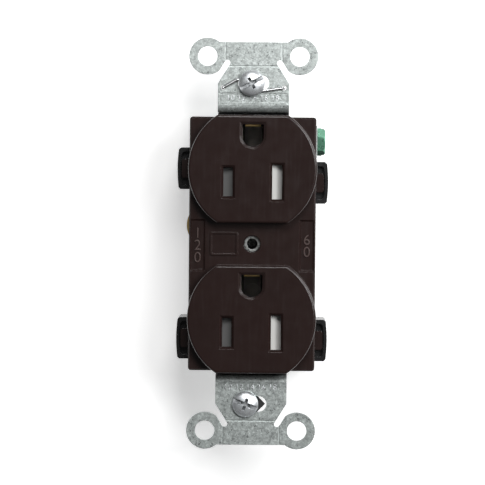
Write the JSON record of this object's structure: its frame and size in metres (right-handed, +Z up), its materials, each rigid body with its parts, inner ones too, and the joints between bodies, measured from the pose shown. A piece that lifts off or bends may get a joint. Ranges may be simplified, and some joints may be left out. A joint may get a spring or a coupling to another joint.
{
  "type": "duplex wall outlet",
  "caption": "Duplex wall outlet: two grounded, shuttered outlets in a moulded housing on a wrap-around steel strap, with side and back wired terminals.",
  "frame": {"origin": "midway between the two mounting screws, on the rear plane of the strap's ears", "axes": "-Y is the front that faces the room, +Y points into the wall, +Z up along the strap with the ground holes up, +X right seen from the front"},
  "size_m": [0.0392, 0.0331, 0.1068],
  "materials": {
    "cover_plastic": "moulded dark brown thermoplastic, satin gloss",
    "base_plastic": "moulded black thermoset, slightly grained",
    "galvanised_steel": "galvanised sheet steel with a fine spangle",
    "contact_brass": "stamped brass strip",
    "contact_nickel": "stamped brass strip, nickel plated",
    "zinc_steel": "zinc plated steel",
    "terminal_brass": "brass plated screw",
    "terminal_nickel": "nickel plated screw",
    "clamp_steel": "zinc plated pressed steel",
    "green_metal": "green dyed zinc plate",
    "bright_nickel": "bright zinc plated screw",
    "retainer_fibre": "black pressed fibre washer",
    "spring_steel": "drawn spring wire",
    "shutter_plastic": "moulded pale grey plastic"
  },
  "bodies": {
    "root": {"face_cover": "cover_plastic", "base": "base_plastic", "mounting_strap": "galvanised_steel", "hot_contact": "contact_brass", "neutral_contact": "contact_nickel", "ground_contact_upper": "contact_brass", "ground_contact_lower": "contact_brass", "ground_rivets": "contact_brass", "plate_screw_post": "zinc_steel", "assembly_screws": "zinc_steel", "screw_retainer_top": "retainer_fibre", "grounding_clip": "spring_steel", "shutter_spring_upper": "spring_steel", "shutter_spring_lower": "spring_steel", "shutter_carrier_upper": "shutter_plastic", "shutter_carrier_lower": "shutter_plastic"},
    "hot_clamp_upper": {"hot_clamp_upper": "clamp_steel"},
    "hot_screw_upper": {"hot_screw_upper": "terminal_brass"},
    "hot_clamp_lower": {"hot_clamp_lower": "clamp_steel"},
    "hot_screw_lower": {"hot_screw_lower": "terminal_brass"},
    "neutral_clamp_upper": {"neutral_clamp_upper": "clamp_steel"},
    "neutral_screw_upper": {"neutral_screw_upper": "terminal_nickel"},
    "neutral_clamp_lower": {"neutral_clamp_lower": "clamp_steel"},
    "neutral_screw_lower": {"neutral_screw_lower": "terminal_nickel"},
    "ground_screw": {"ground_screw": "green_metal"},
    "mounting_screw_top": {"mounting_screw_top": "bright_nickel"},
    "screw_retainer_bottom": {"screw_retainer_bottom": "retainer_fibre"},
    "mounting_screw_bottom": {"mounting_screw_bottom": "bright_nickel"},
    "hot_shutter_upper": {"hot_shutter_upper": "shutter_plastic"},
    "neutral_shutter_upper": {"neutral_shutter_upper": "shutter_plastic"},
    "hot_shutter_lower": {"hot_shutter_lower": "shutter_plastic"},
    "neutral_shutter_lower": {"neutral_shutter_lower": "shutter_plastic"}
  },
  "joints": [
    {"name": "hot_clamp_upper_slide", "type": "slide", "parent": "root", "child": "hot_clamp_upper", "axis": [-1, 0, 0], "range_m": [0, 0.0023]},
    {"name": "hot_screw_upper_turn", "type": "hinge", "parent": "hot_clamp_upper", "child": "hot_screw_upper", "pos_m": [-0.0139, 0.0131, 0.0194], "axis": [-1, 0, 0], "range_deg": [0, 1045]},
    {"name": "hot_clamp_lower_slide", "type": "slide", "parent": "root", "child": "hot_clamp_lower", "axis": [-1, 0, 0], "range_m": [0, 0.0023]},
    {"name": "hot_screw_lower_turn", "type": "hinge", "parent": "hot_clamp_lower", "child": "hot_screw_lower", "pos_m": [-0.0139, 0.0131, -0.0247], "axis": [-1, 0, 0], "range_deg": [0, 1045]},
    {"name": "neutral_clamp_upper_slide", "type": "slide", "parent": "root", "child": "neutral_clamp_upper", "axis": [1, 0, 0], "range_m": [0, 0.0023]},
    {"name": "neutral_screw_upper_turn", "type": "hinge", "parent": "neutral_clamp_upper", "child": "neutral_screw_upper", "pos_m": [0.0139, 0.0131, 0.0159], "axis": [1, 0, 0], "range_deg": [0, 1045]},
    {"name": "neutral_clamp_lower_slide", "type": "slide", "parent": "root", "child": "neutral_clamp_lower", "axis": [1, 0, 0], "range_m": [0, 0.0023]},
    {"name": "neutral_screw_lower_turn", "type": "hinge", "parent": "neutral_clamp_lower", "child": "neutral_screw_lower", "pos_m": [0.0139, 0.0131, -0.0251], "axis": [1, 0, 0], "range_deg": [0, 1045]},
    {"name": "ground_screw_turn", "type": "hinge", "parent": "root", "child": "ground_screw", "pos_m": [0.0167, 0.0108, 0.0265], "axis": [1, 0, 0], "continuous": true},
    {"name": "mounting_screw_top_turn", "type": "hinge", "parent": "root", "child": "mounting_screw_top", "pos_m": [-0.0005, 0, 0.04167], "axis": [0, -1, 0], "continuous": true},
    {"name": "mounting_screw_bottom_slide", "type": "slide", "parent": "root", "child": "screw_retainer_bottom", "axis": [1, 0, 0], "range_m": [-0.0009, 0.0038]},
    {"name": "mounting_screw_bottom_turn", "type": "hinge", "parent": "screw_retainer_bottom", "child": "mounting_screw_bottom", "pos_m": [-0.00145, 0, -0.04167], "axis": [0, -1, 0], "continuous": true},
    {"name": "hot_shutter_upper_slide", "type": "slide", "parent": "root", "child": "hot_shutter_upper", "axis": [1, 0, 0], "range_m": [0, 0.0033], "stiffness_N_per_m": 60, "springref_m": -0.004, "deforming": ["shutter_spring_upper"]},
    {"name": "neutral_shutter_upper_slide", "type": "slide", "parent": "root", "child": "neutral_shutter_upper", "axis": [-1, 0, 0], "range_m": [0, 0.0033]},
    {"name": "hot_shutter_lower_slide", "type": "slide", "parent": "root", "child": "hot_shutter_lower", "axis": [1, 0, 0], "range_m": [0, 0.0033], "stiffness_N_per_m": 60, "springref_m": -0.004, "deforming": ["shutter_spring_lower"]},
    {"name": "neutral_shutter_lower_slide", "type": "slide", "parent": "root", "child": "neutral_shutter_lower", "axis": [-1, 0, 0], "range_m": [0, 0.0033]}
  ],
  "couplings": [
    {"joint": "hot_screw_upper_turn", "follows": "hot_clamp_upper_slide", "rad_per_m": 7915.8},
    {"joint": "hot_screw_lower_turn", "follows": "hot_clamp_lower_slide", "rad_per_m": 7915.8},
    {"joint": "neutral_screw_upper_turn", "follows": "neutral_clamp_upper_slide", "rad_per_m": 7915.8},
    {"joint": "neutral_screw_lower_turn", "follows": "neutral_clamp_lower_slide", "rad_per_m": 7915.8},
    {"joint": "neutral_shutter_upper_slide", "follows": "hot_shutter_upper_slide", "ratio": 1},
    {"joint": "neutral_shutter_lower_slide", "follows": "hot_shutter_lower_slide", "ratio": 1}
  ]
}
